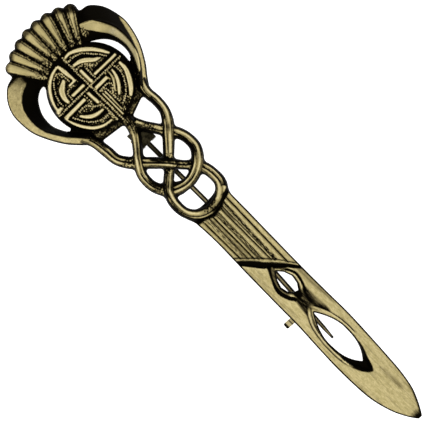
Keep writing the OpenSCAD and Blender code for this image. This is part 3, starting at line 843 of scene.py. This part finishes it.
def lay_strands(relief):
    """Strands with two ridges, the upper one over the lower."""
    x, y = relief.x, relief.y
    for line, start in zip(strand_lines, strand_starts):
        away, side, (lift, width), along = line_distance(line, x, y)
        ended = (along <= 0) | (along >= along.max() - 1e-6)
        along = along + start
        half = STRAND_W / 2 * width
        s = side / half
        top = STRAND_T + 0.5 * lift
        seen = (away < half + 0.12) & (np.hypot(x - BULB[0], y - BULB[1]) > BULB_RIM)
        height = np.where(seen & ~ended, top * at(s, SECTION), NONE)
        # Tarnish in the middle groove and painted shade on the flanks, with lighter ridges
        paint = at(s + 0.12 * np.sin(0.55 * along) * (1 - s * s), STRAND_TARNISH_AND_SHADE)
        fill = 0.5 + 0.5 * np.sin(0.9 * along + 1.6 * np.sin(0.37 * along))
        paint = paint * np.where((s > -0.42) & (s < 0.42), 0.25 + 0.75 * fill, 1)
        narrow = rise(np.sin(0.41 * along + 0.6), 0.1, 0.6)
        paint = np.where((s > -0.5) & (s < -0.2), np.maximum(paint, 0.75 * narrow), paint)
        fill = 0.5 + 0.5 * np.sin(0.73 * along + 2)
        paint = paint * np.where((s > 0.42) & (s < 0.58), 0.45 + 0.55 * fill, 1)
        dull = sum(strength * spot(x, y, middle, reach) for middle, reach, strength in DULL_SPOTS)
        paint = np.maximum(paint, 0.55 * dull)
        paint = np.where(spot(x, y, (4.3, 4.75), (1.1, 0.55)) > 0.4, -0.35, paint)
        crevice = at(x, PANEL_TOP) + 0.32 - y
        paint = np.maximum(paint, rise(crevice, -0.12, 0.1))
        height = np.where((crevice > 0.32) & (np.abs(x) < 5.6), NONE, height)
        pitted = rise(-lift, 0.15, 0.8)
        paint = np.maximum(paint, 0.35 * pitted)
        relief.lay(height, paint, STRAND_FORM, np.maximum(pitted, 0.8 * np.minimum(dull, 1)))


def lay_bulb(relief):
    """Foot, skirt, sunk ground and the bands of the roundel."""
    x, y = relief.x, relief.y
    r = np.hypot(x - BULB[0], y - BULB[1])
    foot = np.full(x.shape, NONE)
    for outline in [APRON] + ENDS:
        foot = np.where(polygon_part(outline)(x, y) > -0.1, FOOT_T, foot)
    disc = at(r, [(GROUND_R, GROUND_T), (8.25, 2.15), (BULB_RIM, 1.6), (9.1, FOOT_T)])
    bulb = np.where(r < BULB_R + 0.1, disc, foot)
    low_side = rise(BULB[1] - y, 2.5, 6.5)
    skirt = np.where(r > 8.35, 1 - 0.4 * low_side * rise(r, 8.45, 8.7), 1.0)
    shade = np.where(r < 8.1, 0.72, skirt)
    pitted = np.where(r < GROUND_R, 1.5, 0.4)
    for half, line in LANES:
        lane = fall(distance(path(line, 4), x, y) - half, -0.1, 0.12) * (r < 8.3)
        shade = np.maximum(shade, lane)
        pitted = pitted * (1 - 0.85 * lane)
        bulb = bulb - 0.2 * lane
    ground = bulb
    for half, line in ROUNDEL:
        middle = path(line, 5)
        away, side, _, along = line_distance(middle, x, y)
        if len(line) > 2:
            length = np.hypot(*np.diff(middle, axis=0).T).sum()
            half = half * (0.72 + 0.5 * np.sin(np.pi * np.clip(along / length, 0, 1)))
        band = ridge(away, half + 0.12)
        top = np.where(half > 0.2, ROUNDEL_TOP, THIN_TOP)
        height = ground + top * np.clip(1.3 * band, 0, 1) + 0.03 * side / half
        bulb = np.where(band > 0, np.maximum(bulb, height), bulb)
        shade = np.maximum(shade, fall(band, 0.1, 0.4) * rise(band, 0.0, 0.1))
        shade = np.where(band > 0, np.minimum(shade, 1 - 1.1 * rise(band, 0.25, 0.75)), shade)
        pitted = np.where(band > 0.2, 0.15, pitted)
    relief.lay(bulb, shade, BULB_FORM, pitted)


def lay_leaves(relief):
    """Creased leaves, with painted shade on the facets turned away from the light and painted
    light on the right leaf's inner facet.
    """
    x, y = relief.x, relief.y
    for lines, mark in zip(leaf_lines, (-1, 1)):
        leaf = boxed([*lines[0], *lines[2]], 0.3, NONE, lambda u, v: leaf_height(lines, u, v))
        height = leaf(x, y)
        if mark < 0:
            # Left leaf: painted shade, black on the inner facet and towards the top, lighter on
            # the outer facet
            paint = largest(
                0.28 + 0.72 * rise(x - at(y, LEFT_EDGE), -0.2, 0.15),
                rise(x, -9.4, -6.9) * rise(y, 45, 46.5), 0.8 * rise(y, 47.6, 49.1))
            pitted = np.zeros(x.shape)
        else:
            band = at(y, RIGHT_BAND)
            inner = rise(x - at(y, RIGHT_HOLLOW), -0.1, 0.12)
            inner = inner * fall(x - at(y, RIGHT_CREASE), -0.15, 0.1)
            outer = rise(x - band, -0.12, 0.2) * fall(y, 42, 45)
            # Right leaf: painted shade on the outer facet near the crease, lighter at its outer
            # edge below the top, and painted light that brightens the inner facet, most low down
            paint = 1 - 0.74 * outer
            lifted = rise(43 - y, 0, 2.5)
            paint = np.where(inner > 0.01, 1 - (1 + lifted) * inner, paint)
            patch = (x < 7.6) & (y > 44.6) & (y < 46.4)
            paint = np.where(patch, 0.45, paint)
            pitted = patch * 1.0 + rise(34.5 - y, 0, 2) * (x < band - 0.4)
        relief.lay(height, paint, LEAF_FORM, np.clip(pitted, 0, 1))


def lay_crown(relief):
    """Fan of round flutes, some with fine lines, pitted at the roots, each with a painted
    highlight stripe and painted shade on its sides and tip.
    """
    x, y = relief.x, relief.y
    for k in range(FLUTES):
        inside, radius, t, v = flute_depth(k, x, y)
        s = np.clip(v / radius, -1, 1)
        height = radius * (1 + ridge(radius - inside, radius)) + 0.07 * (k % 2)
        middle, half, tip = FLUTE_LIGHT[k]
        half = half * (0.5 + 0.5 * rise(t, 0.15, 0.8))
        away = np.abs(s - middle)
        # Painted highlight stripe with painted shade beside it, a bright line past that, and dark
        # valleys between the flutes
        paint = 0.2 * rise(away, 0.3 * half, half) + 0.7 * rise(away, half - 0.06, half + 0.06)
        paint = paint - 0.72 * ridge(away - half - 0.22, 0.13)
        paint = np.maximum(paint, rise(np.abs(s), 0.74, 0.84))
        lines = ridge(s - middle + (0.5 - k % 2) * half, 0.11)
        fine = rise(t, 0.05, 0.2) * fall(t, 0.7, 0.9) * (0.5 if k < 3 else 0.9)
        height = height - 0.1 * lines * fine
        paint = np.maximum(paint, 0.6 * lines * fine)
        # Painted shade on the round tip; darker, pitted roots
        beyond = np.hypot(x - CROWN[0], y - CROWN[1]) - flute_reach(k) - FLUTE_R
        end = rise(beyond, -tip, 1.7 - tip)
        root = fall(t, 0.1, 0.5)
        paint = largest(paint, (0.6 + 0.35 * s * s) * end, 0.5 * root)
        pitted = np.maximum(root, 0.6 * rise(away, half + 0.05, half + 0.2) * (1 - end))
        relief.lay(np.where(inside > -0.12, height, NONE), paint, FLUTE_FORM, pitted)


def casting_relief(x, y):
    relief = Relief(x, y)
    for lay in (lay_blade, lay_strands, lay_bulb, lay_leaves, lay_crown):
        lay(relief)
    return relief


# casting: mesh


def blurred(values, mask, times):
    """Values averaged with their neighbours inside the mask."""
    made = np.where(mask, values, 0.0)
    weight = mask.astype(float)
    for _ in range(times):
        total = np.zeros_like(made)
        share = np.zeros_like(made)
        for di, dj, w in ((0, 0, 2), (1, 0, 1), (-1, 0, 1), (0, 1, 1), (0, -1, 1)):
            total += w * np.roll(made * weight, (di, dj), (0, 1))
            share += w * np.roll(weight, (di, dj), (0, 1))
        made = np.where(mask, total / np.maximum(share, 1e-9), 0.0)
    return made


def spread(values, mask):
    """Grid with the values inside the mask and 0 outside."""
    made = np.zeros(mask.shape)
    made[mask] = values
    return made


def kept_cells(gx, gy):
    """Cells of a grid inside the outline, none of which meets the rest in a corner only."""
    keep = depth((gx[:-1, :-1] + gx[1:, 1:]) / 2, (gy[:-1, :-1] + gy[1:, 1:]) / 2) > 0
    for _ in range(3):
        a, b, c, d = keep[:-1, :-1], keep[1:, 1:], keep[1:, :-1], keep[:-1, 1:]
        keep[:-1, :-1] |= c & d & ~a & ~b
        keep[1:, :-1] |= a & b & ~c & ~d
    return keep


def on_outline(from_x, from_y):
    """Points moved down the slope of the depth to the outline, by part of a cell at most."""
    x, y = from_x, from_y
    e = 0.01
    for _ in range(3):
        nx = (depth(x + e, y) - depth(x - e, y)) / (2 * e)
        ny = (depth(x, y + e) - depth(x, y - e)) / (2 * e)
        size = np.maximum(np.hypot(nx, ny), 0.3)
        move = np.clip(depth(x, y) / size, -0.12, 0.12)
        x = x - move * nx / size
        y = y - move * ny / size
    return from_x + np.clip(x - from_x, -0.1, 0.1), from_y + np.clip(y - from_y, -0.13, 0.13)


def edge_distance(px, py, used, rim):
    """Distance to the nearest point of the rim, and 9 far from it."""
    tree = kdtree.KDTree(int(rim.sum()))
    for i, point in enumerate(zip(px[rim], py[rim])):
        tree.insert((*point, 0), i)
    tree.balance()
    away = np.full(px.shape, 9.0)
    near = used & (blurred(rim.astype(float), used, 6) > 1e-4)
    for i, j in zip(*np.nonzero(near)):
        away[i, j] = 0 if rim[i, j] else tree.find((px[i, j], py[i, j], 0))[2]
    return away


def weathered(height, paint, px, py, used, leaves, smoother):
    """Tarnish and painted shade over 0, polish and painted highlights below 0, from the paint,
    from hollows and steep sides, and from painted shade on slopes facing the picture's top.
    """
    fine = blurred(height, used, 10)
    wide = blurred(height, used, 60)
    hollow = 0.6 * np.clip((fine - height) * 5.0, -1, 1)
    hollow = hollow + 0.7 * np.clip((wide - height) * 1.6, -1, 1)
    hollow = hollow * np.where(leaves | (smoother < 1), 0.3, 1.0)
    sx = np.gradient(height, axis=1) / np.gradient(px, axis=1)
    sy = np.gradient(height, axis=0) / np.gradient(py, axis=0)
    slope = np.hypot(sx, sy)
    # Painted shade: slopes facing the top of the picture, away from the soft boxes, are darkened
    turn = -0.7071 * (sx + sy) / np.maximum(slope, 1e-6)
    shaded = rise(turn, -0.1, 0.55) * rise(slope, 0.2, 0.8) * np.where(leaves, 0.25, 0.9)
    steep = 0.8 * rise(slope, 1.6, 3.2) * ~leaves
    dark = largest(paint, hollow, shaded * smoother, steep * smoother)
    # Polish on high spots, and polish and painted highlights where the paint is below 0
    tone_and_painted_light = np.minimum(paint, 0) - 0.9 * np.clip(-hollow, 0, 0.6) * ~leaves
    return np.clip(np.where((dark > 0.12) & (paint > -0.3), dark, tone_and_painted_light), -1, 1)


def free_edges(keep, number):
    """Edges that only one kept cell has, as pairs of point numbers."""
    edges = []
    full = np.pad(keep, 1)
    for di, dj, a, b in (
            (-1, 0, (0, 1), (0, 0)), (1, 0, (1, 0), (1, 1)),
            (0, -1, (0, 0), (1, 0)), (0, 1, (1, 1), (0, 1))):
        free = keep & ~full[1 + di:full.shape[0] - 1 + di, 1 + dj:full.shape[1] - 1 + dj]
        i, j = np.nonzero(free)
        edges.append(np.stack([number[i + a[0], j + a[1]], number[i + b[0], j + b[1]]], 1))
    return np.concatenate(edges)


# Upper end of the brushed blade, the pits' depth and their tarnish
BRUSHED_TOP = 2.8
PIT_DEPTH = 0.08
PIT_TARNISH = 0.65
EDGE_R = 0.34
# Height at which the walls begin to slope in, and how far they do
WALL_T = 0.16
WALL_IN = 0.06


def casting_mesh():
    """Relief over a grid that follows the outline, with walls and a flat back."""
    xs = np.arange(-14.88, 14.89, 0.12)
    ys = np.concatenate([
        np.arange(-54.6, -17, 0.2), np.arange(-17, 3, 0.14), np.arange(3.04, 54.7, 0.12)])
    gx, gy = np.meshgrid(xs, ys)
    keep = kept_cells(gx, gy)
    count = np.zeros(gx.shape, int)
    for di in (0, 1):
        for dj in (0, 1):
            count[di:di + keep.shape[0], dj:dj + keep.shape[1]] += keep
    used = count > 0
    rim = used & (count < 4)
    px, py = gx.copy(), gy.copy()
    px[rim], py[rim] = on_outline(gx[rim], gy[rim])

    relief = casting_relief(px[used], py[used])
    on_blade = relief.form == BLADE_FORM
    brushed = spread(on_blade & (py[used] < BRUSHED_TOP), used)
    reeded = spread(relief.reeded * on_blade, used)
    leaves = spread(relief.form == LEAF_FORM, used) > 0
    flutes = spread(relief.form == FLUTE_FORM, used) > 0
    rough = np.random.default_rng(7).normal(size=gx.shape)
    rough = blurred(rough, used, 1) * spread(np.clip(relief.pitted, 0, 1.5), used)
    height = blurred(spread(relief.height, used), used, 1) + PIT_DEPTH * rough
    paint = blurred(spread(relief.paint, used), used, 1) - PIT_TARNISH * rough

    # Rounded edge with a line of painted shade along it
    away = edge_distance(px, py, used, rim)
    height = height - EDGE_R * (1 - ridge(np.maximum(EDGE_R - away, 0), EDGE_R))
    edge = 1.1 * fall(away, 0.15, 0.42)
    paint = np.where(edge > 0, np.maximum(paint, edge), paint)
    smoother = np.where(flutes, 0.4, np.where(reeded > 0.5, 0.35, 1.0))
    patina_and_painted_light = weathered(height, paint, px, py, used, leaves, smoother)

    number = np.full(gx.shape, -1)
    number[used] = np.arange(used.sum())
    points = np.stack([px[used], py[used], BACK_Z + height[used]], 1)
    i, j = np.nonzero(keep)
    quads = np.stack([number[i, j], number[i, j + 1], number[i + 1, j + 1], number[i + 1, j]], 1)

    # Walls below the outline's edges
    edges = free_edges(keep, number)
    ring = np.unique(edges)
    places = np.searchsorted(ring, edges)
    d = points[edges[:, 1], :2] - points[edges[:, 0], :2]
    normal = np.stack([-d[:, 1], d[:, 0]], 1) / (np.hypot(*d.T)[:, None] + 1e-9)
    outward = np.zeros((len(ring), 2))
    for k in (0, 1):
        np.add.at(outward, places[:, k], normal)
    outward /= np.maximum(np.hypot(*outward.T), 1e-6)[:, None]
    low = points[ring]
    low[:, 2] = BACK_Z + WALL_T
    foot = low.copy()
    foot[:, :2] -= outward * WALL_IN
    foot[:, 2] = BACK_Z
    a, b = len(points) + places.T
    walls = np.concatenate([
        np.stack([edges[:, 0], edges[:, 1], b, a], 1),
        np.stack([a, b, b + len(ring), a + len(ring)], 1)])
    everything = np.concatenate([points, low, foot])
    mesh = bpy.data.meshes.new("casting_relief")
    mesh.from_pydata((everything * MM).tolist(), [], quads.tolist() + walls.tolist())
    mesh.update()
    for name, grid, at_wall, at_back in (
            ("patina_and_painted_light", patina_and_painted_light, 0.8, 0.5), ("brushed", brushed, 0, 0), ("reeded", reeded, 0, 0)):
        values = np.concatenate([
            grid[used], np.full(len(ring), at_wall), np.full(len(ring), at_back)])
        layer = mesh.attributes.new(name, "FLOAT", "POINT")
        layer.data.foreach_set("value", values.astype(np.float32))

    # Flat back over the lowest ring
    work = bmesh.new()
    work.from_mesh(mesh)
    open_edges = [e for e in work.edges if len(e.link_faces) == 1]
    made = bmesh.ops.triangle_fill(
        work, use_beauty=True, use_dissolve=False, edges=open_edges, normal=(0, 0, -1))
    for face in work.faces:
        face.smooth = True
    for face in [f for f in made["geom"] if isinstance(f, bmesh.types.BMFace)]:
        face.smooth = False
    bmesh.ops.recalc_face_normals(work, faces=work.faces)
    work.to_mesh(mesh)
    work.free()
    return mesh


def new_object(name, data):
    made = bpy.data.objects.new(name, data)
    bpy.context.scene.collection.objects.link(made)
    return made


def add_object(name, mesh, material):
    made = new_object(name, mesh)
    mesh.materials.clear()
    mesh.materials.append(material)
    return made


casting = add_object("casting_relief", casting_mesh(), CAST)
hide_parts("casting")
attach(casting, "brooch")

# beads of the roundel

BEAD_R = 0.21
BEAD_SPACING = 0.43
BEAD_LIFT = 0.17
BEAD_PATINA = -0.4
# How far a bead may be off its place, in metres
BEAD_DRIFT = ((-0.00006, -0.00006, -0.00005), (0.00006, 0.00006, 0.00003))
BEAD_SIZES = ((0.75, 0.75, 0.7), (1.2, 1.2, 1.15))
BEAD_SEED = 5


def random_vector(g, ends, seed):
    return g.out(
        "FunctionNodeRandomValue", {0: ends[0], 1: ends[1], "Seed": seed},
        data_type="FLOAT_VECTOR")


def bead_tree(material):
    """Round beads strung along the edges of a mesh at an even spacing."""
    tree = bpy.data.node_groups.new("bead_string", "GeometryNodeTree")
    for way in ("OUTPUT", "INPUT"):
        tree.interface.new_socket("Geometry", in_out=way, socket_type="NodeSocketGeometry")
    g = Graph(tree)
    strings = g.out("GeometryNodeMeshToCurve", {"Mesh": g.out("NodeGroupInput")})
    places = g.out(
        "GeometryNodeResampleCurve", {"Curve": strings, "Length": BEAD_SPACING * MM},
        mode="LENGTH")
    ball = g.out("GeometryNodeMeshIcoSphere", {"Radius": BEAD_R * MM, "Subdivisions": 2})
    ball = g.out("GeometryNodeSetShadeSmooth", {"Geometry": ball})
    drift = random_vector(g, BEAD_DRIFT, BEAD_SEED + 1)
    moved = g.out("GeometryNodeSetPosition", {"Geometry": places, "Offset": drift})
    beads = g.out("GeometryNodeInstanceOnPoints", {
        "Points": moved, "Instance": ball, "Scale": random_vector(g, BEAD_SIZES, BEAD_SEED)})
    solid = g.out("GeometryNodeRealizeInstances", {"Geometry": beads})
    done = g.out("GeometryNodeSetMaterial", {"Geometry": solid, "Material": material})
    g.add("NodeGroupOutput", {"Geometry": done})
    return tree


def grown(name, mesh, tree, material):
    """Plain mesh that a tree makes of a mesh."""
    seedling = new_object(name + "_lines", mesh)
    seedling.modifiers.new("grow", "NODES").node_group = tree
    bpy.context.view_layer.update()
    seen = seedling.evaluated_get(bpy.context.evaluated_depsgraph_get())
    made = bpy.data.meshes.new_from_object(seen)
    bpy.data.objects.remove(seedling)
    return add_object(name, made, material)


bead_points = []
bead_edges = []
for string in BEADS:
    line = path(string, 6)
    start = len(bead_points)
    bead_points += [(p[0] * MM, p[1] * MM, (BACK_Z + GROUND_T + BEAD_LIFT) * MM) for p in line]
    bead_edges += [(start + i, start + i + 1) for i in range(len(line) - 1)]
bead_lines = bpy.data.meshes.new("bead_lines")
bead_lines.from_pydata(bead_points, bead_edges, [])
beads = grown("roundel_beads", bead_lines, bead_tree(CAST), CAST)
polish = beads.data.attributes.new("patina_and_painted_light", "FLOAT", "POINT")
polish.data.foreach_set("value", np.full(len(beads.data.vertices), BEAD_PATINA, np.float32))
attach(beads, "brooch")

# hinge, wire and catch

# Width of a rounded edge
SOFT_EDGE = 0.09


def softened(node, name, material, body):
    """Copy of a CAD node with its sharp edges rounded, which stands for it."""
    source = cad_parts[node]
    work = bmesh.new()
    work.from_mesh(source.data)
    bmesh.ops.remove_doubles(work, verts=work.verts, dist=1e-6)
    bmesh.ops.dissolve_limit(
        work, angle_limit=math.radians(1.5), verts=work.verts, edges=work.edges)
    sharp = [
        e for e in work.edges
        if len(e.link_faces) == 2 and e.calc_face_angle() > math.radians(35)]
    bmesh.ops.bevel(
        work, geom=sharp, offset=SOFT_EDGE * MM, offset_type="OFFSET", segments=2, profile=0.5,
        affect="EDGES", clamp_overlap=True)
    bmesh.ops.triangulate(work, faces=[f for f in work.faces if len(f.verts) > 4])
    for face in work.faces:
        face.smooth = True
    mesh = bpy.data.meshes.new(name)
    work.to_mesh(mesh)
    work.free()
    mesh.set_sharp_from_angle(angle=math.radians(40))
    made = add_object(name, mesh, material)
    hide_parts(node)
    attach(made, body)


for node, material, body, slot_name in (
        ("hinge_block", HINGE, "brooch", "findings_brass"),
        ("hinge_rivet", CATCH, "brooch", "findings_brass"),
        ("stem", WIRE, "stem", "wire_brass"),
        ("catch_housing", CATCH, "brooch", "findings_brass"),
        ("catch_lever", CATCH, "lever", "findings_brass")):
    softened(node, node + "_finished", material, body)

# floor, light and camera

floor_mesh = bpy.data.meshes.new("floor")
floor_mesh.from_pydata([(-1, -1, 0), (1, -1, 0), (1, 1, 0), (-1, 1, 0)], [], [(0, 1, 2, 3)])
floor = add_object("floor", floor_mesh, pale_floor())

# Directions in the picture, as seen from above
PICTURE_RIGHT = Vector((0.70711, -0.70711, 0))
PICTURE_UP = Vector((0.70711, 0.70711, 0))


def soft_box(name, right, up, height, width, power):
    """Large area light at a place in the picture's directions, aimed at the pin."""
    data = bpy.data.lights.new(name, "AREA")
    data.shape = "DISK"
    data.size = width
    data.energy = power
    lamp = new_object(name, data)
    lamp.location = PICTURE_RIGHT * right + PICTURE_UP * up + Vector((0, 0, height))
    lamp.rotation_mode = "QUATERNION"
    lamp.rotation_quaternion = (-Vector(lamp.location)).to_track_quat("-Z", "Y")


soft_box("overhead", -0.05, -0.1, 0.75, 0.6, 0.45)
soft_box("left_box", -0.6, 0.0, 0.35, 0.55, 0.4)
soft_box("front_box", -0.1, -0.65, 0.35, 0.6, 0.7)
soft_box("right_box", 0.6, -0.15, 0.35, 0.55, 0.45)

scene = bpy.context.scene
scene.view_settings.view_transform = "Standard"
scene.world = bpy.data.worlds.new("studio")
scene.world.use_nodes = True
background = scene.world.node_tree.nodes["Background"]
background.inputs[0].default_value = (1, 1, 1, 1)
background.inputs[1].default_value = 0.75

# The picture's middle and the width that it shows
MIDDLE = Vector((-0.14, 2.19, 0)) * MM
VIEW_MM = 83.85
FRONT_MM = 7.0
camera_data = bpy.data.cameras.new("camera")
camera_data.sensor_width = 36
camera_data.lens = 120
camera = new_object("camera", camera_data)
distance = VIEW_MM * MM * camera_data.lens / camera_data.sensor_width
camera.location = MIDDLE + Vector((0, 0, distance + FRONT_MM * MM))
camera.rotation_euler = (0, 0, math.radians(-45))
camera_data.clip_start = 0.01
camera_data.clip_end = 10
scene.camera = camera
